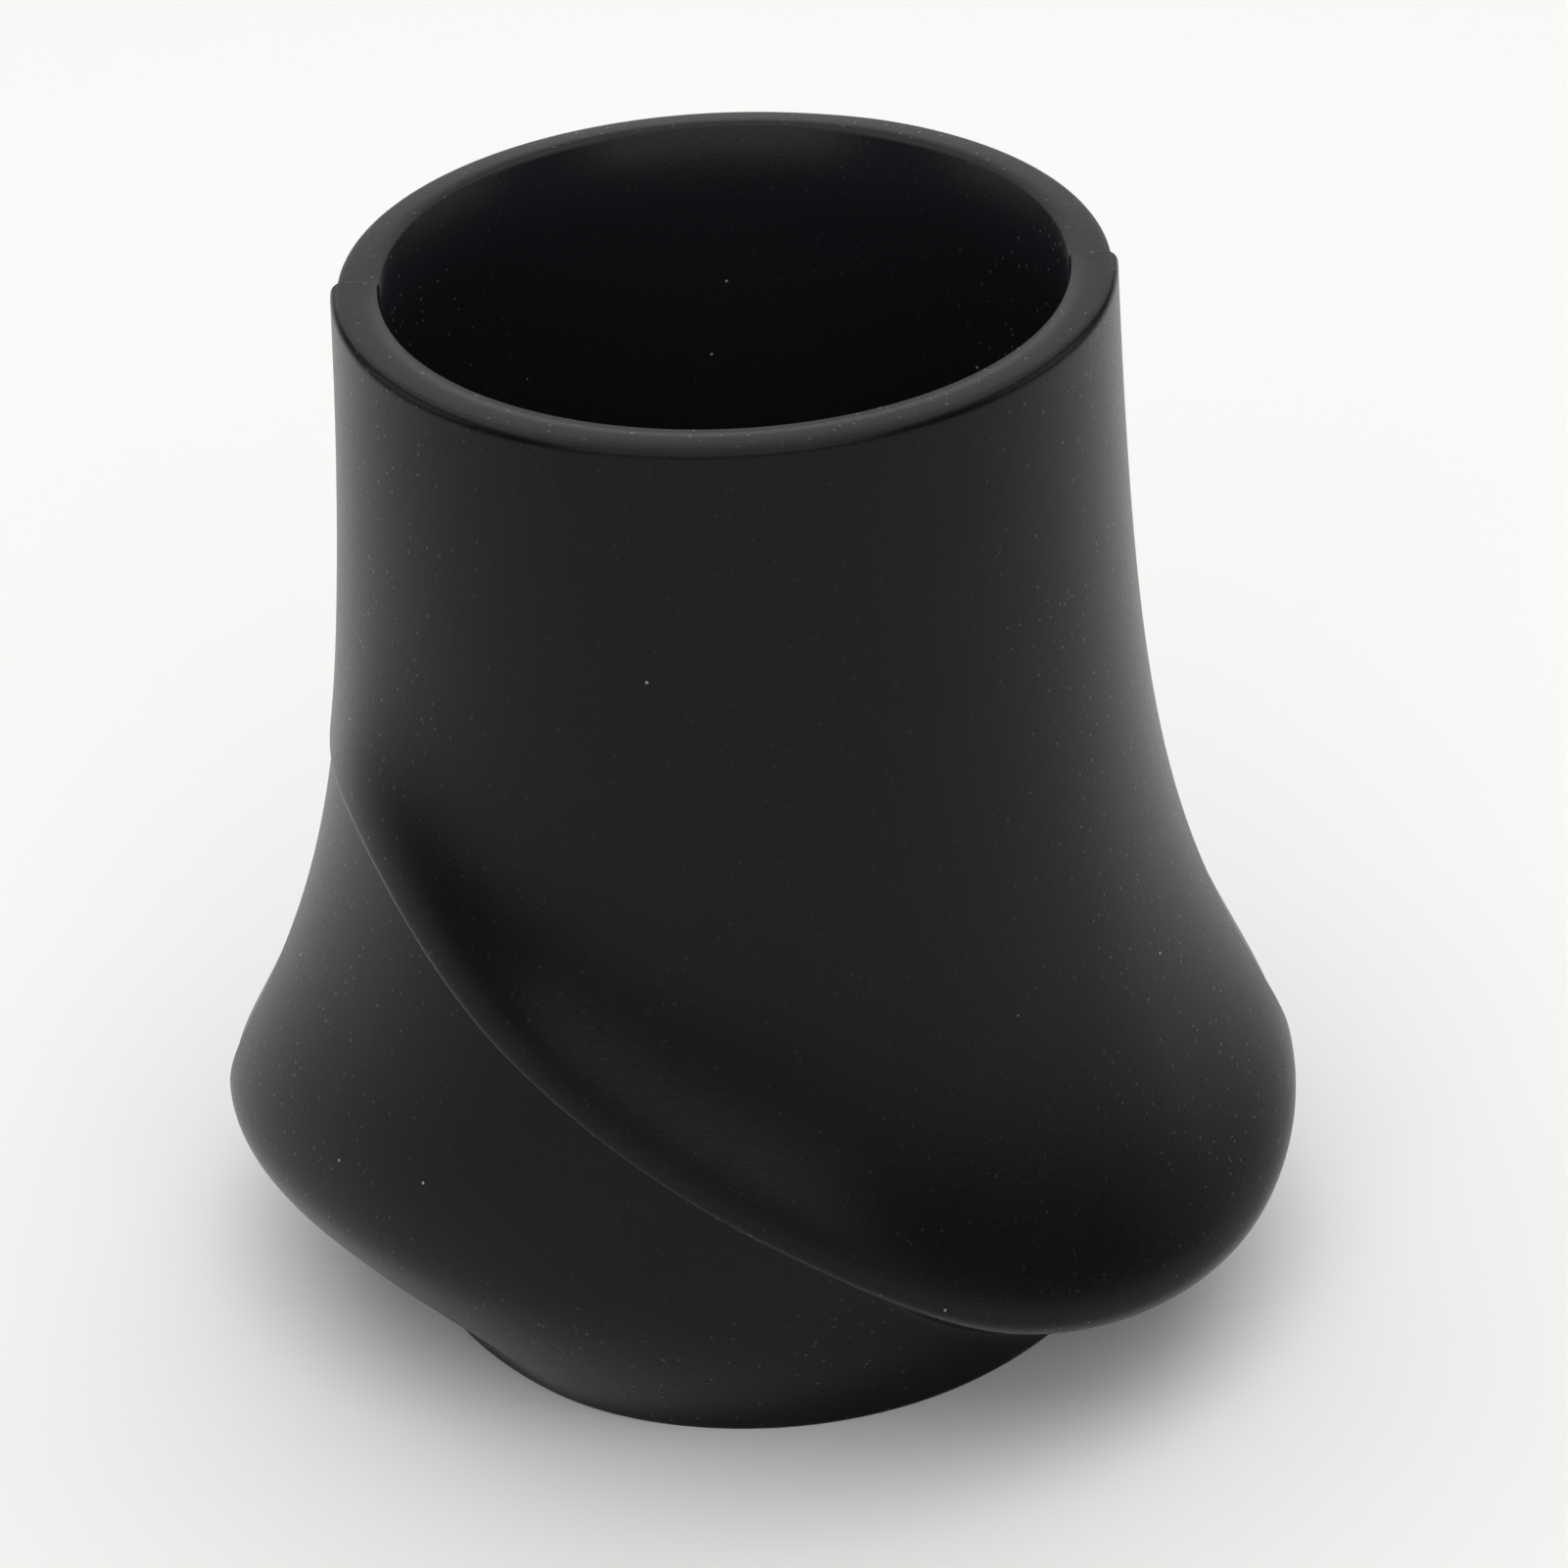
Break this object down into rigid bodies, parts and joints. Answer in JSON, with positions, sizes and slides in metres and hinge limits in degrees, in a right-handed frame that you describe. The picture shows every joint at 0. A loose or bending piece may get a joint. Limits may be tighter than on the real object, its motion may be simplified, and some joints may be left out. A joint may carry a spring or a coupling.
{
  "type": "racket handle sleeve",
  "caption": "Swirl-flared silicone sleeve that stretches over a racket handle to damp vibration and stop the hand.",
  "frame": {"origin": "centre of the foot face, on the bore axis", "axes": "+Z along the bore from the foot to the collar; the mould's parting plane is y = 0; -Y is the side where a new petal starts on the left"},
  "size_m": [0.0572, 0.0514, 0.0574],
  "materials": {
    "silicone": "matte moulded silicone, fine eroded grain"
  },
  "bodies": {
    "root": {"grip_sleeve": "silicone"}
  },
  "joints": []
}
